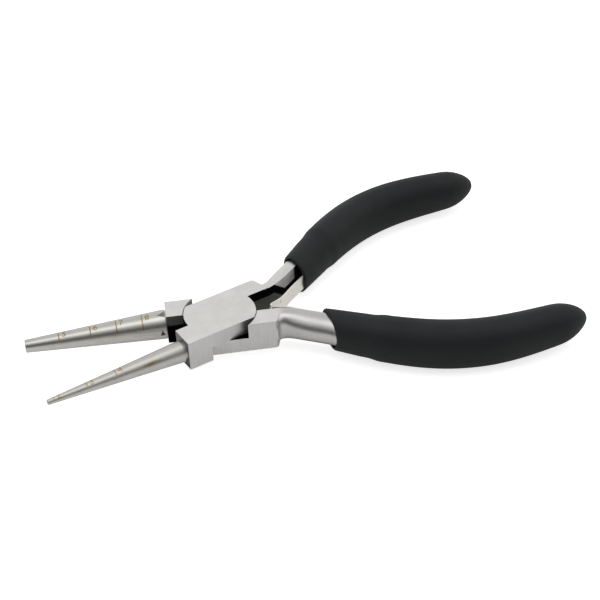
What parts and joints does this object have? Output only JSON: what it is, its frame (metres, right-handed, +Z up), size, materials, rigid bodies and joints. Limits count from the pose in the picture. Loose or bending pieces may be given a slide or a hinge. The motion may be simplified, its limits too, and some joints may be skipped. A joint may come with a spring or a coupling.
{
  "type": "round nose pliers",
  "caption": "Hand pliers with tapered round jaws of unequal size, graduated by diameter, a flat lap joint, leaf return springs and soft bowed sleeves.",
  "frame": {"origin": "on the pivot axis, at the flat underside of the joint", "axes": "+Z up along the pivot axis, +X towards the handles along the middle of the opening, +Y towards the handle of the upper half"},
  "size_m": [0.1604, 0.093, 0.0154],
  "materials": {
    "forged_steel": "fine satin brushing, along the faces of the joint",
    "jaw_steel": "smooth satin, turned and polished",
    "spring_strip": "warm nickel on rolled strip",
    "rivet_steel": "plain",
    "sleeve": "matt charcoal"
  },
  "bodies": {
    "lower_half": {"half_lower": "forged_steel", "cone_large": "jaw_steel", "leaf_rivet_near": "rivet_steel", "grip_near": "sleeve"},
    "upper_half": {"half_upper": "forged_steel", "cone_small": "jaw_steel", "pivot_rivet": "forged_steel", "leaf_rivet_far": "rivet_steel", "grip_far": "sleeve"},
    "far_leaf": {"leaf_far": "spring_strip"},
    "near_leaf": {"leaf_near": "spring_strip"}
  },
  "joints": [
    {"name": "pivot", "type": "hinge", "parent": "lower_half", "child": "upper_half", "pos_m": [0, 0, 0.005], "axis": [0, 0, 1], "range_deg": [-24.2, 6], "stiffness_Nm_per_rad": 0.8},
    {"name": "far_leaf_bend", "type": "hinge", "parent": "upper_half", "child": "far_leaf", "pos_m": [0.03482, 0.01415, 0.005], "axis": [0, 0, 1], "range_deg": [-9.7, 2.5]},
    {"name": "near_leaf_bend", "type": "hinge", "parent": "lower_half", "child": "near_leaf", "pos_m": [0.03482, -0.01415, 0.005], "axis": [0, 0, 1], "range_deg": [-2.5, 9.7]}
  ],
  "couplings": [
    {"joint": "far_leaf_bend", "follows": "pivot", "ratio": 0.4},
    {"joint": "near_leaf_bend", "follows": "pivot", "ratio": -0.4}
  ]
}
